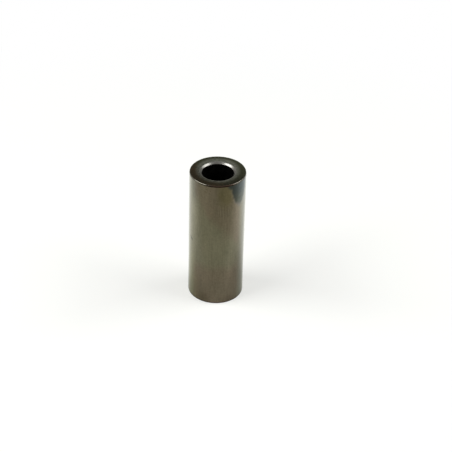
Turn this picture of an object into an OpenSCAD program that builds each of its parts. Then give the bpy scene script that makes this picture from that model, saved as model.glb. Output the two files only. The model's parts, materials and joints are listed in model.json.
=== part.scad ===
// Gudgeon pin: a hollow, ground steel pin that hinges a piston to its connecting rod.
// It is turned from one piece, and its two ends are alike.
// The pin stands on one end, with its axis on Z and the centre of that end at the origin.

/* [Pin] */
// Diameter of the ground outside surface
pin_d = 15; // [12:0.5:30]
// Length over the two end faces
pin_length = 38; // [10:0.5:90]
// Length of the lead-in at each end of the outside
lead_in_length = 0.4; // [0.4:0.1:3]
// How far the lead-in draws the radius in at the end face
lead_in_depth = 0.08; // [0.02:0.02:0.3]
// Radius that rounds each outer edge
edge_r = 0.2; // [0.05:0.05:0.3]

/* [Bore] */
// Diameter of the hole through the pin
bore_d = 8.5; // [3:0.25:12]
// Width and depth of the chamfer round each mouth of the bore
mouth_chamfer = 0.5; // [0.2:0.1:1.2]
// Radius that breaks the two edges of each mouth chamfer
mouth_edge_r = 0.15; // [0.05:0.05:0.4]

/* [Hidden] */

// Straight steps in the arc of one rounded edge, and segments in a full turn
arc_steps = 6;
$fn = 128;

// Colour of the dark ground steel
steel_colour = [0.38, 0.36, 0.29];

pin_r = pin_d / 2;
bore_r = bore_d / 2;
face_outer_r = pin_r - lead_in_depth;
face_inner_r = bore_r + mouth_chamfer;

// Half section as [radius, height] corners, up the outside and back down the bore
section_corners = [
    [face_outer_r, 0],
    [pin_r, lead_in_length],
    [pin_r, pin_length - lead_in_length],
    [face_outer_r, pin_length],
    [face_inner_r, pin_length],
    [bore_r, pin_length - mouth_chamfer],
    [bore_r, mouth_chamfer],
    [face_inner_r, 0]
];

// Radius that rounds each of those corners; the lead-ins meet the outside in a plain line
corner_radii = [edge_r, 0, 0, edge_r, mouth_edge_r, mouth_edge_r, mouth_edge_r, mouth_edge_r];

function unit(v) = v / norm(v);

// Angle turned from one direction to another, the short way round
function short_turn(from, to) = let (turn = to - from) turn - 360 * round(turn / 360);

// Points of the arc that rounds the corner between the points before and after it
function rounded_corner(before, corner, after, radius) =
    radius == 0 ? [corner] :
    let (
        back = unit(before - corner),
        on = unit(after - corner),
        half_angle = acos(back * on) / 2,
        reach = radius / tan(half_angle),
        centre = corner + unit(back + on) * radius / sin(half_angle),
        first = corner + back * reach - centre,
        last = corner + on * reach - centre,
        first_angle = atan2(first.y, first.x),
        turn = short_turn(first_angle, atan2(last.y, last.x))
    )
    [for (step = [0 : arc_steps])
        let (angle = first_angle + turn * step / arc_steps)
        centre + radius * [cos(angle), sin(angle)]];

// The closed outline with every corner rounded by its own radius
function rounded_outline(corners, radii) =
    let (count = len(corners))
    [for (i = [0 : count - 1])
        each rounded_corner(corners[(i + count - 1) % count], corners[i], corners[(i + 1) % count], radii[i])];

module gudgeon_pin() {
    color(steel_colour)
        rotate_extrude()
            polygon(rounded_outline(section_corners, corner_radii));
}

gudgeon_pin();
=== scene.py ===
"""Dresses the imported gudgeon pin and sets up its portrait: a white sheet, two lamps, a tent and a camera."""

import json
import logging
import math
from dataclasses import dataclass
from enum import Enum
from functools import cached_property
from typing import Any

import bmesh
import bpy
from mathutils import Color, Matrix, Vector


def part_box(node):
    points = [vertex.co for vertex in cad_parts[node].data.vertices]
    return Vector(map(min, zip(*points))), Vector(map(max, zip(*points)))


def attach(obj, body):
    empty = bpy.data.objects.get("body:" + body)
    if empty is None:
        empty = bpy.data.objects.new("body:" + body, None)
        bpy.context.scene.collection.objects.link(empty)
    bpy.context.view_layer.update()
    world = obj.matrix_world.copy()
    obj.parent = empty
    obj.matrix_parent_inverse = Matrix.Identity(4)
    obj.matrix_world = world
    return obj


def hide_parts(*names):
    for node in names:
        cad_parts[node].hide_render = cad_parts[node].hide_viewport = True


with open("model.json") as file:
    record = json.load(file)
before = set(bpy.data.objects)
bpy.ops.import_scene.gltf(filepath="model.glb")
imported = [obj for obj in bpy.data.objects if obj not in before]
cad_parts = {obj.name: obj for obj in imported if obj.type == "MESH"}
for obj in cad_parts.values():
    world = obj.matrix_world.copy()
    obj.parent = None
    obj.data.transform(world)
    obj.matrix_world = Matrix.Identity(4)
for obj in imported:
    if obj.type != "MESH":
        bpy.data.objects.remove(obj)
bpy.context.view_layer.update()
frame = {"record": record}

log = logging.getLogger("gudgeon_pin")

Colour = tuple[float, float, float]
Scale = tuple[float, float, float]
Span = tuple[float, float]

MM = 0.001
DEG = math.pi / 180
WHITE: Colour = (1.0, 1.0, 1.0)


def shown(red: int, green: int, blue: int) -> Colour:
    """Turns a colour as a screen shows it into the linear colour that a shader takes.

    Args:
        red: The red part, from 0 to 255.
        green: The green part, from 0 to 255.
        blue: The blue part, from 0 to 255.

    Returns:
        The linear colour, each part from 0 to 1.
    """
    on_screen = Color([part / 255 for part in (red, green, blue)])
    return tuple(on_screen.from_srgb_to_scene_linear())


def way_to(turn: float, elevation: float, distance: float) -> Vector:
    """Gives the way from the pin to something that stands round it.

    Args:
        turn: The turn from the front, in radians.
        elevation: The angle above the level, in radians.
        distance: The distance from the pin.

    Returns:
        The way, as a vector.
    """
    level = distance * math.cos(elevation)
    return Vector((level * math.sin(turn), -level * math.cos(turn), distance * math.sin(elevation)))


def add_to_scene(
    name: str, mesh: bmesh.types.BMesh, materials: list[bpy.types.Material]
) -> bpy.types.Object:
    """Makes an object of a finished mesh and adds it to the scene.

    Args:
        name: The object's name.
        mesh: The mesh, which is used up.
        materials: The materials, in the order of the object's slots.

    Returns:
        The object.
    """
    data = bpy.data.meshes.new(name)
    mesh.to_mesh(data)
    mesh.free()
    for material in materials:
        data.materials.append(material)
    made = bpy.data.objects.new(name, data)
    bpy.context.scene.collection.objects.link(made)
    return made


class Socket:
    """The output of a shader node, which adds Math nodes as it is used in an expression."""

    def __init__(self, graph: "Graph", output: bpy.types.NodeSocket) -> None:
        """Wraps one output of a node in a graph."""
        self.graph = graph
        self.output = output

    def beside(self, name: str) -> "Socket":
        """Gives another output of the same node."""
        return Socket(self.graph, self.output.node.outputs[name])

    def _math(self, operation: str, *operands: "Socket | float") -> "Socket":
        """Adds one Math node on the operands."""
        return self.graph.add("ShaderNodeMath", {"operation": operation}, dict(enumerate(operands)))

    def __neg__(self) -> "Socket":
        """Turns the sign round."""
        return self._math("MULTIPLY", self, -1.0)

    def __add__(self, other: "Socket | float") -> "Socket":
        """Adds a value."""
        return self._math("ADD", self, other)

    def __radd__(self, other: float) -> "Socket":
        """Adds this to a number."""
        return self._math("ADD", other, self)

    def __sub__(self, other: "Socket | float") -> "Socket":
        """Takes a value away."""
        return self._math("SUBTRACT", self, other)

    def __rsub__(self, other: float) -> "Socket":
        """Takes this away from a number."""
        return self._math("SUBTRACT", other, self)

    def __mul__(self, other: "Socket | float") -> "Socket":
        """Multiplies by a value."""
        return self._math("MULTIPLY", self, other)

    def __rmul__(self, other: float) -> "Socket":
        """Multiplies a number by this."""
        return self._math("MULTIPLY", other, self)

    def __truediv__(self, other: "Socket | float") -> "Socket":
        """Divides by a value."""
        return self._math("DIVIDE", self, other)

    def __pow__(self, other: float) -> "Socket":
        """Raises to a power."""
        return self._math("POWER", self, other)

    def root(self) -> "Socket":
        """Takes the square root."""
        return self._math("SQRT", self)

    def size(self) -> "Socket":
        """Drops the sign."""
        return self._math("ABSOLUTE", self)

    def wave(self) -> "Socket":
        """Takes the sine of an angle in radians."""
        return self._math("SINE", self)

    def turn_from(self, along: "Socket") -> "Socket":
        """Gives the angle, in radians, of the direction that has this across and the other value along."""
        return self._math("ARCTAN2", self, along)

    def most(self, other: "Socket | float") -> "Socket":
        """Gives the larger of two values."""
        return self._math("MAXIMUM", self, other)

    def eased(self, span: Span) -> "Socket":
        """Rises smoothly over a span.

        Args:
            span: The value at which the result is still 0, and the one at which it has become 1.

        Returns:
            The eased value, held between 0 and 1.
        """
        low, high = span
        limits = {"Value": self, "From Min": low, "From Max": high}
        return self.graph.add("ShaderNodeMapRange", {"interpolation_type": "SMOOTHSTEP"}, limits)

    def between(self, rise: Span, fall: Span) -> "Socket":
        """Rises smoothly from 0 to 1 over one span, and falls back to 0 over a later one."""
        return self.eased(rise) - self.eased(fall)


class Graph:
    """The node tree of one material or of the world."""

    # The Mix node's sockets for colours, which share their names with those for numbers
    MIX_SHARE = 0
    MIX_FIRST = 6
    MIX_SECOND = 7
    MIX_RESULT = 2

    def __init__(self, owner: bpy.types.Material | bpy.types.World) -> None:
        """Starts an empty tree.

        Args:
            owner: The material or world that the tree belongs to.
        """
        owner.use_nodes = True
        self.tree = owner.node_tree
        self.tree.nodes.clear()

    def add(
        self,
        kind: str,
        settings: dict[str, Any] | None = None,
        inputs: dict[str | int, Any] | None = None,
        output: str | int = 0,
    ) -> Socket:
        """Adds a node.

        Args:
            kind: The node's type.
            settings: The node's own settings, which are set first.
            inputs: What each socket holds: a number, a colour, a vector or another node's output.
            output: The output that is wanted.

        Returns:
            The wanted output.
        """
        node = self.tree.nodes.new(kind)
        for name, setting in (settings or {}).items():
            setattr(node, name, setting)
        for name, value in (inputs or {}).items():
            socket = node.inputs[name]
            if isinstance(value, Socket):
                self.tree.links.new(value.output, socket)
            elif socket.type == "RGBA":
                socket.default_value = (*value, 1.0)
            else:
                socket.default_value = value
        return Socket(self, node.outputs[output])

    def _mix(
        self, way: str, share: Socket | float, first: Socket | Colour, second: Socket | Colour
    ) -> Socket:
        """Adds one Mix node on two colours.

        Args:
            way: How the node mixes them.
            share: How far the second colour counts, from 0 to 1.
            first: The first colour.
            second: The second colour.

        Returns:
            The mixed colour.
        """
        settings = {"data_type": "RGBA", "blend_type": way}
        inputs = {self.MIX_SHARE: share, self.MIX_FIRST: first, self.MIX_SECOND: second}
        return self.add("ShaderNodeMix", settings, inputs, self.MIX_RESULT)

    def blend(self, share: Socket | float, first: Socket | Colour, second: Socket | Colour) -> Socket:
        """Goes from the first colour to the second as the share rises from 0 to 1."""
        return self._mix("MIX", share, first, second)

    def tinted(self, share: Socket | float, colour: Socket | Colour, tint: Socket | Colour) -> Socket:
        """Multiplies a colour by a tint, by as much as the share says."""
        return self._mix("MULTIPLY", share, colour, tint)

    def parts(self, vector: Socket) -> tuple[Socket, Socket, Socket]:
        """Gives the X, Y and Z parts of a vector."""
        across = self.add("ShaderNodeSeparateXYZ", {}, {"Vector": vector}, "X")
        return across, across.beside("Y"), across.beside("Z")

    def rays(self) -> tuple[Socket, Socket]:
        """Tells the kinds of ray apart.

        Returns:
            Whether a ray comes from the camera, and whether it is mirrored or has passed through glass.
        """
        camera = self.add("ShaderNodeLightPath", output="Is Camera Ray")
        mirrored = camera.beside("Is Glossy Ray").most(camera.beside("Is Transmission Ray"))
        return camera, mirrored

    def bump(self, height: Socket, depth: float) -> Socket:
        """Gives the normal of a surface that rises by depth, in metres, as height rises by 1."""
        return self.add("ShaderNodeBump", {}, {"Height": height, "Distance": depth}, "Normal")

    def steel(
        self, colour: Socket, roughness: Socket, normal: Socket, glancing: Colour = WHITE
    ) -> Socket:
        """Adds a metal shader.

        Args:
            colour: What the metal reflects.
            roughness: How much it scatters what it reflects.
            normal: The normal of its fine marks.
            glancing: The tint of what it reflects at a glancing angle.

        Returns:
            The shader.
        """
        inputs = {
            "Base Color": colour,
            "Metallic": 1.0,
            "Roughness": roughness,
            "Specular Tint": glancing,
            "Normal": normal,
        }
        return self.add("ShaderNodeBsdfPrincipled", {}, inputs)

    def either(self, share: Socket, first: Socket, second: Socket) -> Socket:
        """Mixes two shaders, with more of the second as the share rises."""
        return self.add("ShaderNodeMixShader", {}, {0: share, 1: first, 2: second})

    def end(self, kind: str, shader: Socket) -> None:
        """Ends the tree with an output node."""
        node = self.tree.nodes.new(kind)
        self.tree.links.new(shader.output, node.inputs["Surface"])


class Spot:
    """The place on a piece that its material is read at, in metres."""

    def __init__(self, graph: Graph) -> None:
        """Starts from the piece's own coordinates.

        Args:
            graph: The tree that takes the nodes.
        """
        self.graph = graph
        self.place = graph.add("ShaderNodeTexCoord", output="Object")
        self.across, self.away, self.height = graph.parts(self.place)

    @cached_property
    def turn(self) -> Socket:
        """The turn from the front, in radians, below 0 on the left."""
        return self.across.turn_from(-self.away)

    @cached_property
    def distance(self) -> Socket:
        """The distance from the axis."""
        return (self.across * self.across + self.away * self.away).root()

    def towards(self, turn: float, radius: float) -> Socket:
        """Gives how far the spot lies from the axis towards a turn from the front.

        Args:
            turn: The turn from the front, in radians.
            radius: The distance from the axis that counts as 1.

        Returns:
            The share of the radius, below 0 on the other side of the axis.
        """
        return self.across * (math.sin(turn) / radius) - self.away * (math.cos(turn) / radius)

    def noise(
        self,
        grain: float,
        detail: float = 3.0,
        scale: Scale = (1.0, 1.0, 1.0),
        shift: Scale = (0.0, 0.0, 0.0),
    ) -> Socket:
        """Adds a cloudy pattern.

        Args:
            grain: The size of one cloud, in metres.
            detail: How many finer octaves are added.
            scale: How often the pattern repeats along each axis; a share below 1 draws the clouds out.
            shift: How far along each axis the pattern is moved.

        Returns:
            The pattern, from about -0.5 to 0.5.
        """
        mapped = self.graph.add(
            "ShaderNodeMapping", {}, {"Vector": self.place, "Location": shift, "Scale": scale}
        )
        inputs = {"Vector": mapped, "Scale": 1 / grain, "Detail": detail}
        return self.graph.add("ShaderNodeTexNoise", {}, inputs) - 0.5


@dataclass(frozen=True)
class Patch:
    """A blunt patch on the pin's side, with a soft and ragged edge.

    Attributes:
        turn: The turn of its middle from the front, in radians.
        height: The height of its middle.
        half_width: Half its width round the pin.
        half_height: Half its height.
        tint: What it multiplies the steel's colour by.
        soft: How much of its half width the edge takes to fade, each way.
        ragged: How much of its half width the edge wanders, each way.
        grain: The size of the edge's wanderings.
        bluntness: 2 for an ellipse, and more for a squarer form.
        slant: How far it leans sideways for each unit of height.
    """

    turn: float
    height: float
    half_width: float
    half_height: float
    tint: Colour = WHITE
    soft: float = 0.6
    ragged: float = 0.25
    grain: float = 1.4 * MM
    bluntness: float = 2.0
    slant: float = 0.0

    def cover(self, spot: Spot) -> Socket:
        """Gives where the patch is.

        Args:
            spot: The place on the pin.

        Returns:
            The patch's cover, from 0 to 1.
        """
        rise = spot.height - self.height
        aside = (spot.turn - self.turn) * spot.distance + rise * self.slant
        side = (aside / self.half_width).size()
        drop = (rise / self.half_height).size()
        reach = (side ** self.bluntness + drop ** self.bluntness) ** (1 / self.bluntness)
        edge = reach + spot.noise(self.grain) * (2 * self.ragged)
        return 1.0 - edge.eased((1.0 - self.soft, 1.0 + self.soft))

    def over(self, spot: Spot, colour: Socket) -> Socket:
        """Tints a colour where the patch is."""
        return spot.graph.tinted(self.cover(spot), colour, self.tint)


@dataclass(frozen=True)
class Side:
    """A stretch of an end that is lighter or darker than the rest.

    Attributes:
        turn: The turn from the front that it lies towards, in radians.
        span: How far towards it the change starts and is whole, as shares of a radius.
        change: What it adds to a light of 1.
    """

    turn: float
    span: Span
    change: float

    def light(self, spot: Spot, radius: float) -> Socket:
        """Gives what the stretch adds to the light at a spot, with its span in shares of the radius."""
        return spot.towards(self.turn, radius).eased(self.span) * self.change


@dataclass(frozen=True)
class Finish:
    """A finish of one surface."""

    name: str

    def paint(self, graph: Graph, spot: Spot) -> Socket:
        """Gives the shader of this finish, which each kind of finish makes in its own way."""
        raise NotImplementedError

    def material(self) -> bpy.types.Material:
        """Makes the material of this finish.

        Returns:
            The new material.
        """
        made = bpy.data.materials.new(self.name)
        graph = Graph(made)
        graph.end("ShaderNodeOutputMaterial", self.paint(graph, Spot(graph)))
        return made


@dataclass(frozen=True)
class GroundSteel(Finish):
    """Dark ground steel: an olive middle, brown ends, fine marks, a nick and a cool stain, with patches of
    painted shade and painted reflection and a painted cool reflection up the right flank.
    """

    length: float

    # The steel's own colours, and how far from each end and from the front the brown fades out
    olive: Colour = shown(131, 127, 109)
    brown: Colour = shown(131, 120, 105)
    end_brown: float = 0.85
    middle_brown: float = 0.035
    upper_fade: Span = (10 * MM, 14.5 * MM)
    upper_slope: float = 1.2
    lower_fade: Span = (10 * MM, 13.5 * MM)
    front_fade: Span = (44 * DEG, 60 * DEG)
    fade_stray: float = 4 * MM

    # Clouds, streaks along the axis and flecks, and how strongly each shows
    cloud_grain: float = 3.5 * MM
    cloud_scale: Scale = (1.0, 1.0, 0.6)
    cloud_shift: Scale = (11 * MM, 7 * MM, 13 * MM)
    cloud_brown: float = 0.7
    cloud_contrast: float = 0.22
    streak_grain: float = 0.4 * MM
    streak_scale: Scale = (1.0, 1.0, 0.1)
    streak_contrast: float = 0.35
    streak_depth: float = 0.002 * MM
    fleck_grain: float = 0.55 * MM
    fleck_contrast: float = 0.4
    roughness: float = 0.11
    roughness_spread: float = 0.05

    # The painted cool reflection up the right flank, low down and further up, lighter further up
    low_flank_reflection: Colour = (0.98, 1.01, 1.12)
    high_flank_reflection: Colour = (1.24, 1.27, 1.47)
    flank_reflection_fade: Span = (8 * MM, 17 * MM)
    flank_rise: Span = (48 * DEG, 68 * DEG)
    flank_fall: Span = (105 * DEG, 165 * DEG)

    # Fine scratches, and pits under the upper edge
    scratch_pitch: float = 0.42 * MM
    scratch_contrast: float = 0.26
    pit_grain: float = 0.6 * MM
    pit_fade: Span = (0.05, 0.2)
    pit_tint: Colour = (0.74, 0.72, 0.64)

    # The stain, which lightens in clouds away from its inner side and downwards, and the halo round it
    cool: Colour = shown(74, 77, 71)
    cool_light: Colour = shown(94, 98, 94)
    stain_grain: float = 1.2 * MM
    stain_stray: float = 34.4 * DEG
    stain_lean: float = 6 * DEG
    stain_fade: Span = (36 * DEG, 63 * DEG)
    drop_fade: Span = (1.5 * MM, 6 * MM)
    low_stain: Colour = (1.1, 1.08, 1.0)
    high_stain: Colour = (0.82, 0.88, 0.99)
    halo_width: float = 0.35 * MM
    halo_tint: Colour = (1.08, 1.1, 1.3)

    def paint(self, graph: Graph, spot: Spot) -> Socket:
        """Gives the shader of this finish.

        Args:
            graph: The tree that takes the nodes.
            spot: The place on the pin.

        Returns:
            The shader.
        """
        clouds = spot.noise(self.cloud_grain, scale=self.cloud_scale, shift=self.cloud_shift)
        streaks = spot.noise(self.streak_grain, scale=self.streak_scale)
        flecks = spot.noise(self.fleck_grain)
        light = 1.0 + clouds * self.cloud_contrast + streaks * self.streak_contrast
        light = light + flecks * self.fleck_contrast + self.scratches(spot) * self.scratch_contrast
        colour = graph.tinted(1.0, self.bare(graph, spot, clouds), light)
        # Painted cool reflection on the right flank, stronger further up
        flank_reflection = graph.blend(spot.height.eased(self.flank_reflection_fade), self.low_flank_reflection, self.high_flank_reflection)
        colour = graph.tinted(spot.turn.between(self.flank_rise, self.flank_fall), colour, flank_reflection)
        colour = graph.tinted(self.pits(spot), colour, self.pit_tint)
        # A heat tint, a nick, and patches of painted shade and painted reflection
        for mark in self.marks():
            colour = mark.over(spot, colour)
        colour = self.stained(graph, spot, colour)
        roughness = self.roughness + clouds * self.roughness_spread
        return graph.steel(colour, roughness, graph.bump(streaks, self.streak_depth))

    def bare(self, graph: Graph, spot: Spot, clouds: Socket) -> Socket:
        """Gives the colour of the unmarked steel, brown in front towards both ends.

        Args:
            graph: The tree that takes the nodes.
            spot: The place on the pin.
            clouds: The clouds that mottle the steel.

        Returns:
            The colour.
        """
        stray = clouds * self.fade_stray
        from_top = self.length - spot.height - spot.across * self.upper_slope - stray
        from_foot = spot.height + stray
        upper = 1.0 - from_top.eased(self.upper_fade)
        lower = 1.0 - from_foot.eased(self.lower_fade)
        ends = upper.most(lower) * (1.0 - spot.turn.size().eased(self.front_fade))
        share = self.middle_brown + ends * self.end_brown + clouds * self.cloud_brown
        return graph.blend(share, self.olive, self.brown)

    def marks(self) -> list[Patch]:
        """Gives the marks: a heat tint, a nick, and patches of painted shade and painted reflection on the
        flanks.

        Returns:
            The marks.
        """
        top = self.length
        # Painted shade in front, under the upper end
        dusk = Patch(4 * DEG, top - 8.5 * MM, 3 * MM, 6 * MM, (0.88, 0.88, 0.85))
        warm = Patch(19 * DEG, top - 2.5 * MM, 2.4 * MM, 4 * MM, (0.84, 0.85, 0.68), soft=0.5)
        # Painted shade on the left, just under the upper end
        dull = Patch(-53 * DEG, top - 0.5 * MM, 1.6 * MM, 5.5 * MM, (0.66, 0.67, 0.68))
        # Painted shade low on the right flank
        shade = Patch(50 * DEG, 11.5 * MM, 2.4 * MM, 6.5 * MM, (0.84, 0.83, 0.82))
        # Painted shade by the foot, on the left
        foot_shade_left = Patch(-26 * DEG, 1.2 * MM, 1.7 * MM, 2 * MM, (0.8, 0.79, 0.75))
        # Painted shade by the foot, on the right
        foot_shade_right = Patch(27 * DEG, 0.8 * MM, 2.6 * MM, 1.6 * MM, (0.86, 0.85, 0.84))
        # Painted reflection: lighter by the foot, on the right
        gleam = Patch(62 * DEG, 0.5 * MM, 2.2 * MM, 4 * MM, (1.13, 1.15, 1.14))
        # Painted reflection: lighter low on the left flank
        pale = Patch(-62 * DEG, 0.0, 2.6 * MM, 14 * MM, (1.2, 1.22, 1.1))
        nick = Patch(
            -62.5 * DEG,
            top / 2,
            half_width=0.42 * MM,
            half_height=0.5 * MM,
            tint=(0.3, 0.3, 0.3),
            soft=0.5,
            ragged=0.6,
            grain=0.35 * MM,
            slant=1.0,
        )
        return [dusk, warm, dull, shade, foot_shade_left, foot_shade_right, gleam, pale, nick]

    def scratches(self, spot: Spot) -> Socket:
        """Gives the fine scratches: a few short lines along the axis, dark and light in turn.

        Args:
            spot: The place on the pin.

        Returns:
            The scratches' waves, from -1 to 1, and 0 where there are none.
        """
        lines = (spot.turn * spot.distance * (math.tau / self.scratch_pitch)).wave()
        scratched = Patch(14 * DEG, self.length - 8.2 * MM, 1.3 * MM, 1.9 * MM, soft=0.3)
        return lines * scratched.cover(spot)

    def pits(self, spot: Spot) -> Socket:
        """Gives where the small pits under the upper edge are.

        Args:
            spot: The place on the pin.

        Returns:
            The cover of the pits, from 0 to 1.
        """
        pits = spot.noise(self.pit_grain, detail=1.0).eased(self.pit_fade)
        pitted = Patch(-21 * DEG, self.length - 1.6 * MM, 1.2 * MM, 1.3 * MM, soft=0.4)
        return pits * pitted.cover(spot)

    def tongue(self, spread: float) -> Patch:
        """Gives the stain's main form, a ragged tongue that hangs from the upper edge.

        Args:
            spread: How far the form is widened on all sides.

        Returns:
            The form.
        """
        return Patch(
            52 * DEG,
            self.length,
            half_width=3 * MM + spread,
            half_height=6.9 * MM + spread,
            soft=0.12,
            ragged=0.12,
            grain=1.1 * MM,
            bluntness=1.8,
        )

    def stained(self, graph: Graph, spot: Spot, colour: Socket) -> Socket:
        """Lays the stain and its halo over a colour.

        Args:
            graph: The tree that takes the nodes.
            spot: The place on the pin.
            colour: The colour of the steel.

        Returns:
            The colour with the stain.
        """
        rise = 1.0 - (self.length - spot.height).eased(self.drop_fade)
        outward = spot.turn + spot.noise(self.stain_grain) * self.stain_stray - rise * self.stain_lean
        stain = graph.blend(outward.eased(self.stain_fade), self.cool, self.cool_light)
        stain = graph.tinted(1.0, stain, graph.blend(rise, self.low_stain, self.high_stain))
        shoulder = Patch(32 * DEG, self.length, 1.5 * MM, 1.5 * MM, soft=0.4)
        cover = self.tongue(0.0).cover(spot).most(shoulder.cover(spot))
        colour = graph.tinted(self.tongue(self.halo_width).cover(spot), colour, self.halo_tint)
        return graph.blend(cover, colour, stain)


@dataclass(frozen=True)
class BrownEdge(Finish):
    """The lead-ins and outer edges, which the grinding wheel missed: dull grey, and burnt brown in front."""

    brown: Colour = shown(100, 82, 71)
    burnt_turn: float = 9 * DEG
    burnt_fade: Span = (12 * DEG, 37 * DEG)
    dark: Colour = shown(90, 86, 77)
    light: Colour = shown(110, 107, 99)
    worn_grain: float = 0.7 * MM
    worn_fade: Span = (-0.15, 0.15)
    worn_depth: float = 0.001 * MM
    stained_tint: Colour = (0.76, 0.77, 0.8)
    stained_rise: Span = (18 * DEG, 32 * DEG)
    stained_fall: Span = (75 * DEG, 100 * DEG)
    roughness: float = 0.17
    roughness_spread: float = 0.1

    def paint(self, graph: Graph, spot: Spot) -> Socket:
        """Gives the shader of this finish.

        Args:
            graph: The tree that takes the nodes.
            spot: The place on the pin.

        Returns:
            The shader.
        """
        worn = spot.noise(self.worn_grain)
        colour = graph.blend(worn.eased(self.worn_fade), self.dark, self.light)
        aside = (spot.turn - self.burnt_turn).size()
        colour = graph.blend(aside.eased(self.burnt_fade), self.brown, colour)
        stained = spot.turn.between(self.stained_rise, self.stained_fall)
        colour = graph.tinted(stained, colour, self.stained_tint)
        roughness = self.roughness + worn * self.roughness_spread
        return graph.steel(colour, roughness, graph.bump(worn, self.worn_depth))


@dataclass(frozen=True)
class FacedSteel(Finish):
    """The faced ends: dark steel with fine turning rings and speckle, browner and darker towards the rim, with
    painted light and shade across the face.
    """

    radius: float

    # Colours of the face by its bore and by its rim, which is burnt on one side
    inner: Colour = shown(86, 88, 82)
    olive_rim: Colour = shown(39, 42, 29)
    brown_rim: Colour = shown(47, 35, 20)
    glancing: Colour = (1.0, 0.98, 0.87)
    rim_fade: Span = (4.9 * MM, 6.3 * MM)
    rim_stray: float = 0.8 * MM
    burnt_turn: float = 305 * DEG
    burnt_fade: Span = (0.1, 0.7)

    # The back, where the lighter inner colour reaches further out and two lobes are lighter: painted light and
    # painted highlights
    back_turn: float = 185 * DEG
    back_fade: Span = (0.0, 0.8)
    back_reach: float = 0.6 * MM
    lobe_change: float = 0.5

    # Painted light and shade across the whole face, lighter towards the back right, with painted shade by the
    # rim towards the front right, and how dark the darkest speckle is
    light_turn: float = 138 * DEG
    light_change: float = 0.48
    rim_shade: Side = Side(39 * DEG, (0.7, 1.0), -0.6)
    speckle_grain: float = 0.55 * MM
    speckle_contrast: float = 2.8
    darkest: float = 0.3

    # The rings that the facing tool left
    ring_pitch: float = 0.14 * MM
    ring_depth: float = 0.0012 * MM
    ring_stray: float = 2.0
    roughness: float = 0.35
    roughness_spread: float = 0.1

    def paint(self, graph: Graph, spot: Spot) -> Socket:
        """Gives the shader of this finish.

        Args:
            graph: The tree that takes the nodes.
            spot: The place on the pin.

        Returns:
            The shader.
        """
        speckle = spot.noise(self.speckle_grain, detail=2.0)
        burnt = spot.towards(self.burnt_turn, self.radius) + speckle
        rim = graph.blend(burnt.eased(self.burnt_fade), self.olive_rim, self.brown_rim)
        # Painted light: at the back the lighter inner colour reaches further out
        back = spot.towards(self.back_turn, self.radius)
        reach = spot.distance + speckle * self.rim_stray - back.eased(self.back_fade) * self.back_reach
        colour = graph.blend(reach.eased(self.rim_fade), self.inner, rim)
        # Painted light and shade: lighter towards the back right, painted highlights at the back left and
        # right, painted shade at the front left and right and by the rim towards the front right
        lean = spot.towards(self.light_turn, self.radius) * self.light_change
        lobes = back * spot.across.size() * (self.lobe_change / self.radius)
        light = 1.0 + lean + lobes + self.rim_shade.light(spot, self.radius) + speckle * self.speckle_contrast
        colour = graph.tinted(1.0, colour, light.most(self.darkest))
        rings = (spot.distance * (math.tau / self.ring_pitch) + speckle * self.ring_stray).wave()
        roughness = self.roughness + speckle * self.roughness_spread
        return graph.steel(colour, roughness, graph.bump(rings, self.ring_depth), self.glancing)


@dataclass(frozen=True)
class CutSteel(Finish):
    """The chamfer round a mouth of the bore: smooth steel with the cutter's fine rings, with a painted
    highlight towards the back right and painted shade towards the left.
    """

    radius: float
    colour: Colour = shown(117, 116, 112)
    # Painted highlight towards the back right
    painted_highlight: Side = Side(145 * DEG, (0.5, 1.0), 0.24)
    # Painted shade towards the left
    dull: Side = Side(260 * DEG, (0.7, 1.0), -0.28)
    worn_grain: float = 0.5 * MM
    worn_contrast: float = 0.3
    ring_pitch: float = 0.1 * MM
    ring_depth: float = 0.0008 * MM
    roughness: float = 0.32
    roughness_spread: float = 0.08

    def paint(self, graph: Graph, spot: Spot) -> Socket:
        """Gives the shader of this finish.

        Args:
            graph: The tree that takes the nodes.
            spot: The place on the pin.

        Returns:
            The shader.
        """
        worn = spot.noise(self.worn_grain)
        # Painted highlight and painted shade on the chamfer
        light = 1.0 + self.painted_highlight.light(spot, self.radius) + self.dull.light(spot, self.radius)
        colour = graph.tinted(1.0, self.colour, light + worn * self.worn_contrast)
        rings = (spot.height * (math.tau / self.ring_pitch)).wave()
        roughness = self.roughness + worn * self.roughness_spread
        return graph.steel(colour, roughness, graph.bump(rings, self.ring_depth))


@dataclass(frozen=True)
class BlackScale(Finish):
    """The bore's wall, left black and dull by heat treatment."""

    black: Colour = shown(14, 14, 15)
    grey: Colour = shown(34, 33, 31)
    scale_grain: float = 0.9 * MM
    scale_fade: Span = (-0.1, 0.25)
    scale_depth: float = 0.01 * MM
    roughness: float = 0.55
    roughness_spread: float = 0.3

    def paint(self, graph: Graph, spot: Spot) -> Socket:
        """Gives the shader of this finish.

        Args:
            graph: The tree that takes the nodes.
            spot: The place on the pin.

        Returns:
            The shader.
        """
        scale = spot.noise(self.scale_grain, detail=4.0)
        colour = graph.blend(scale.eased(self.scale_fade), self.black, self.grey)
        roughness = self.roughness + scale * self.roughness_spread
        return graph.steel(colour, roughness, graph.bump(scale, self.scale_depth))


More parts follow.
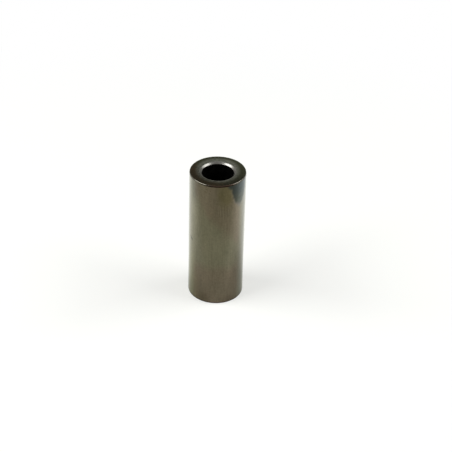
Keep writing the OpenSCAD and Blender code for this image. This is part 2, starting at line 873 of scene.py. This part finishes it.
@dataclass(frozen=True)
class WhitePaper(Finish):
    """White paper, which keeps soft shadows, and which steel mirrors as dimmer where less light falls."""

    colour: Colour = (0.88, 0.89, 0.85)

    # How much plain white the camera sees by the pin, and how far from it all is white
    white_share: float = 0.43
    white_fade: Span = (60 * MM, 160 * MM)

    # What steel mirrors, painted on the paper: lighter behind the pin, dim in front, and dimmer far in front,
    # with painted shade at its foot
    mirrored_back: Colour = (0.98, 1.0, 0.97)
    mirrored_front: Colour = (0.455, 0.46, 0.395)
    back_fade: Span = (-31 * MM, 14 * MM)
    back_slope: float = 0.08
    far_tint: Colour = (0.2, 0.16, 0.15)
    far_fade: Span = (32 * MM, 135 * MM)
    foot_tint: Colour = (0.63, 0.62, 0.6)
    foot_fade: Span = (9 * MM, 33 * MM)
    foot_back: Span = (-8 * MM, 6 * MM)

    def paint(self, graph: Graph, spot: Spot) -> Socket:
        """Gives the shader of this finish.

        Args:
            graph: The tree that takes the nodes.
            spot: The place on the sheet.

        Returns:
            The shader.
        """
        behind = (spot.away + spot.across * self.back_slope).eased(self.back_fade)
        pool = graph.blend(behind, self.mirrored_front, self.mirrored_back)
        pool = graph.tinted((-spot.away).eased(self.far_fade), pool, self.far_tint)
        # Painted shade at the pin's foot, in what steel mirrors
        foot = (1.0 - spot.distance.eased(self.foot_fade)) * (1.0 - spot.away.eased(self.foot_back))
        pool = graph.tinted(foot, pool, self.foot_tint)
        camera, mirrored = graph.rays()
        far = spot.distance.eased(self.white_fade)
        seen = camera * (self.white_share + far * (1.0 - self.white_share))
        matte = graph.add("ShaderNodeBsdfDiffuse", {}, {"Color": self.colour})
        white = graph.add("ShaderNodeEmission", {}, {"Color": WHITE})
        dim = graph.add("ShaderNodeBsdfDiffuse", {}, {"Color": pool})
        return graph.either(mirrored, graph.either(seen, matte, white), dim)


class Surface(Enum):
    """The pin's turned surfaces, in the order of its material slots."""

    GROUND = 0
    EDGE = 1
    FACE = 2
    MOUTH = 3
    BORE = 4


@dataclass(frozen=True)
class Corner:
    """A corner of the pin's half section, and the radius that rounds it."""

    radius: float
    height: float
    rounding: float

    def place(self) -> Vector:
        """Gives the corner's place in the half section."""
        return Vector((self.radius, self.height))

    def reach(self, before: "Corner", after: "Corner") -> float:
        """Tells how far the rounding reaches along the two sides that meet here.

        Args:
            before: The corner before this one.
            after: The corner after this one.

        Returns:
            The reach.
        """
        turn = (self.place() - before.place()).angle(after.place() - self.place())
        return self.rounding * math.tan(turn / 2)


@dataclass
class GudgeonPin:
    """The turned pin: a tube with lead-ins, rounded outer edges and chamfered mouths to its bore."""

    radius: float
    length: float
    bore_radius: float
    lead_in_depth: float = 0.08 * MM
    lead_in_length: float = 0.4 * MM
    lead_in_rounding: float = 0.5 * MM
    edge_rounding: float = 0.2 * MM
    mouth_chamfer: float = 0.5 * MM
    mouth_rounding: float = 0.4 * MM
    throat_rounding: float = 0.15 * MM

    # Steps in a full turn and in a rounded corner
    turn_steps: int = 256
    edge_steps: int = 6

    # Width of the narrow faces at the rims of each flat, and the distance at which two places count as one
    band: float = 0.03 * MM
    tolerance: float = 0.004 * MM

    @classmethod
    def from_frame(cls) -> "GudgeonPin":
        """Takes the pin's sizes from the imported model.

        Returns:
            A pin of those sizes.
        """
        low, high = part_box("gudgeon_pin")
        mounts = {mount["name"]: mount for mount in frame["record"]["mounts"]}
        return cls(
            radius=(high.x - low.x) / 2,
            length=high.z - low.z,
            bore_radius=mounts["bore"]["dims"]["r_mm"] * MM,
        )

    @property
    def mouth_radius(self) -> float:
        """The radius at which the mouths' chamfers meet the faces."""
        return self.bore_radius + self.mouth_chamfer

    def section(self) -> list[Corner]:
        """Gives the corners of the half section, up the outside and down the bore.

        Returns:
            The corners.
        """
        end_radius = self.radius - self.lead_in_depth
        return [
            Corner(end_radius, 0.0, self.edge_rounding),
            Corner(self.radius, self.lead_in_length, self.lead_in_rounding),
            Corner(self.radius, self.length - self.lead_in_length, self.lead_in_rounding),
            Corner(end_radius, self.length, self.edge_rounding),
            Corner(self.mouth_radius, self.length, self.mouth_rounding),
            Corner(self.bore_radius, self.length - self.mouth_chamfer, self.throat_rounding),
            Corner(self.bore_radius, self.mouth_chamfer, self.throat_rounding),
            Corner(self.mouth_radius, 0.0, self.mouth_rounding),
        ]

    def on_ring(self, edge: bmesh.types.BMEdge, corner: Corner) -> bool:
        """Tells whether an edge lies on the ring that a corner draws as the section turns."""
        places = [Vector((vert.co.xy.length, vert.co.z)) for vert in edge.verts]
        return all((place - corner.place()).length < self.tolerance for place in places)

    def surface_of(self, face: bmesh.types.BMFace) -> Surface:
        """Tells which turned surface a face belongs to.

        Args:
            face: A face of the mesh.

        Returns:
            The surface.
        """
        centre = face.calc_center_median()
        distance = centre.xy.length
        if distance > self.radius - self.tolerance:
            return Surface.GROUND
        if distance < self.bore_radius + self.tolerance:
            return Surface.BORE
        if min(centre.z, self.length - centre.z) < self.tolerance:
            return Surface.FACE
        return Surface.EDGE if distance > (self.radius + self.bore_radius) / 2 else Surface.MOUTH

    def turned(self) -> bmesh.types.BMesh:
        """Turns the half section about the axis.

        Returns:
            The mesh, with sharp corners.
        """
        mesh = bmesh.new()
        points = [mesh.verts.new((corner.radius, 0.0, corner.height)) for corner in self.section()]
        lines = [mesh.edges.new(pair) for pair in zip(points, points[1:] + points[:1])]
        bmesh.ops.spin(
            mesh,
            geom=points + lines,
            cent=(0.0, 0.0, 0.0),
            axis=(0.0, 0.0, 1.0),
            angle=math.tau,
            steps=self.turn_steps,
            use_merge=True,
        )
        bmesh.ops.remove_doubles(mesh, verts=mesh.verts, dist=self.tolerance)
        bmesh.ops.recalc_face_normals(mesh, faces=mesh.faces)
        return mesh

    def round_corners(self, mesh: bmesh.types.BMesh) -> set[bmesh.types.BMFace]:
        """Rounds the ring that each corner of the section has drawn.

        Args:
            mesh: The turned mesh.

        Returns:
            The faces of the roundings.
        """
        corners = self.section()
        rounded: set[bmesh.types.BMFace] = set()
        for before, corner, after in zip(corners[-1:] + corners[:-1], corners, corners[1:] + corners[:1]):
            made = bmesh.ops.bevel(
                mesh,
                geom=[edge for edge in mesh.edges if self.on_ring(edge, corner)],
                offset=corner.reach(before, after),
                offset_type="OFFSET",
                affect="EDGES",
                segments=self.edge_steps,
                profile=0.5,
                material=-1,
            )
            rounded.update(made["faces"])
        return rounded

    def hold_flats(self, mesh: bmesh.types.BMesh, rounded: set[bmesh.types.BMFace]) -> None:
        """Rims each flat with narrow faces, so that it shades as a flat up to its roundings.

        Args:
            mesh: The mesh with rounded corners.
            rounded: The faces of the roundings.
        """
        flats = {face: self.surface_of(face) for face in mesh.faces if face not in rounded}
        for surface in Surface:
            bmesh.ops.inset_region(
                mesh,
                faces=[face for face, owner in flats.items() if owner is surface],
                thickness=self.band,
                use_boundary=True,
                use_even_offset=True,
            )

    def shaped(self) -> bmesh.types.BMesh:
        """Makes the pin's mesh, with the slot of its surface on each face.

        Returns:
            The finished mesh.
        """
        mesh = self.turned()
        self.hold_flats(mesh, self.round_corners(mesh))
        for face in mesh.faces:
            face.smooth = True
            face.material_index = self.surface_of(face).value
        return mesh

    def finishes(self) -> dict[Surface, Finish]:
        """Gives the finish of each turned surface.

        Returns:
            The finishes by surface.
        """
        return {
            Surface.GROUND: GroundSteel("ground_steel", length=self.length),
            Surface.EDGE: BrownEdge("brown_edge"),
            Surface.FACE: FacedSteel("faced_steel", radius=self.radius),
            Surface.MOUTH: CutSteel("cut_steel", radius=self.mouth_radius),
            Surface.BORE: BlackScale("black_scale"),
        }

    def build(self) -> bpy.types.Object:
        """Builds the pin and puts it in the place of the plain solid.

        Returns:
            The pin's object.
        """
        finishes = self.finishes()
        materials = [finishes[surface].material() for surface in Surface]
        pin = add_to_scene("ground_pin", self.shaped(), materials)
        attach(pin, "root")
        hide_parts("gudgeon_pin")
        return pin


@dataclass
class WhiteSheet:
    """The plain white sheet that the pin stands on."""

    width: float = 4.0

    def lay(self) -> bpy.types.Object:
        """Lays the sheet under the pin.

        Returns:
            The sheet's object.
        """
        mesh = bmesh.new()
        bmesh.ops.create_grid(mesh, x_segments=1, y_segments=1, size=self.width / 2)
        sheet = add_to_scene("white_sheet", mesh, [WhitePaper("white_sheet").material()])
        return sheet


@dataclass
class Softbox:
    """A wide lamp that faces the pin."""

    name: str
    turn: float
    elevation: float
    power: float
    distance: float = 0.6
    width: float = 0.5
    height: float = 0.3

    def hang(self, target: Vector) -> bpy.types.Object:
        """Hangs the lamp.

        Args:
            target: The point that it faces.

        Returns:
            The lamp's object.
        """
        lamp = bpy.data.lights.new(self.name, "AREA")
        lamp.shape = "RECTANGLE"
        lamp.size = self.width
        lamp.size_y = self.height
        lamp.energy = self.power
        way = way_to(self.turn, self.elevation, self.distance)
        hung = bpy.data.objects.new(self.name, lamp)
        hung.location = target + way
        hung.rotation_euler = way.to_track_quat("Z", "Y").to_euler()
        bpy.context.scene.collection.objects.link(hung)
        return hung


@dataclass
class Tent:
    """The pale surroundings: white to the camera, dimmer and warmer in front in what the steel mirrors."""

    back: Colour = (0.7, 0.69, 0.64)
    front: Colour = (0.15, 0.125, 0.11)
    back_fade: Span = (-0.7, 0.3)
    low_tint: Colour = (0.6, 0.6, 0.6)
    low_fade: Span = (0.02, 0.4)
    overhead: Colour = (0.62, 0.62, 0.6)
    overhead_fade: Span = (0.6, 0.95)
    fill: Colour = (0.28, 0.28, 0.275)

    def pitch(self) -> bpy.types.World:
        """Puts the surroundings round the scene.

        Returns:
            The world.
        """
        world = bpy.data.worlds.new("tent")
        graph = Graph(world)
        _, away, up = graph.parts(graph.add("ShaderNodeTexCoord", output="Generated"))
        colour = graph.blend(away.eased(self.back_fade), self.front, self.back)
        colour = graph.tinted(1.0 - up.eased(self.low_fade), colour, self.low_tint)
        colour = graph.blend(up.eased(self.overhead_fade), colour, self.overhead)
        camera, mirrored = graph.rays()
        walls = graph.add("ShaderNodeBackground", {}, {"Color": colour})
        fill = graph.add("ShaderNodeBackground", {}, {"Color": self.fill})
        white = graph.add("ShaderNodeBackground", {}, {"Color": WHITE})
        unseen = graph.either(mirrored, fill, walls)
        graph.end("ShaderNodeOutputWorld", graph.either(camera, unseen, white))
        bpy.context.scene.world = world
        return world


@dataclass
class PortraitCamera:
    """The camera, at the angle from which the pin is shown, turned a little off the pin's middle."""

    focal_length: float = 109.76
    distance: float = 372.1 * MM
    elevation: float = 34.55 * DEG
    yaw: float = -0.4716 * DEG
    pitch: float = -0.2048 * DEG
    roll: float = 1.6232 * DEG
    nearest: float = 10 * MM

    def set_up(self, target: Vector) -> bpy.types.Object:
        """Sets the camera up.

        Args:
            target: The point that its distance and elevation are measured from.

        Returns:
            The camera's object.
        """
        lens = bpy.data.cameras.new("portrait_camera")
        lens.lens = self.focal_length
        lens.clip_start = self.nearest
        camera = bpy.data.objects.new("portrait_camera", lens)
        tilt = math.pi / 2 - self.elevation - self.pitch
        aim = Matrix.Rotation(self.yaw, 4, "Z") @ Matrix.Rotation(tilt, 4, "X")
        aim = aim @ Matrix.Rotation(self.roll, 4, "Z")
        stand = Matrix.Translation(target + way_to(0.0, self.elevation, self.distance))
        camera.matrix_world = stand @ aim
        bpy.context.scene.collection.objects.link(camera)
        bpy.context.scene.camera = camera
        return camera


def main() -> None:
    """Builds the pin, then what it stands on, what lights it and what looks at it."""
    logging.basicConfig(level=logging.INFO, format="%(name)s: %(message)s")
    bpy.context.scene.view_settings.view_transform = "Standard"
    pin = GudgeonPin.from_frame()
    middle = Vector((0.0, 0.0, pin.length / 2))
    log.info("built %s", pin.build().name)
    log.info("laid %s", WhiteSheet().lay().name)
    softboxes = [
        Softbox("left_softbox", turn=-78 * DEG, elevation=40 * DEG, power=3.28),
        Softbox("right_softbox", turn=92 * DEG, elevation=40 * DEG, power=2.6),
    ]
    for softbox in softboxes:
        log.info("hung %s", softbox.hang(middle).name)
    log.info("pitched %s", Tent().pitch().name)
    log.info("set up %s", PortraitCamera().set_up(middle).name)


if __name__ == "__main__":
    main()
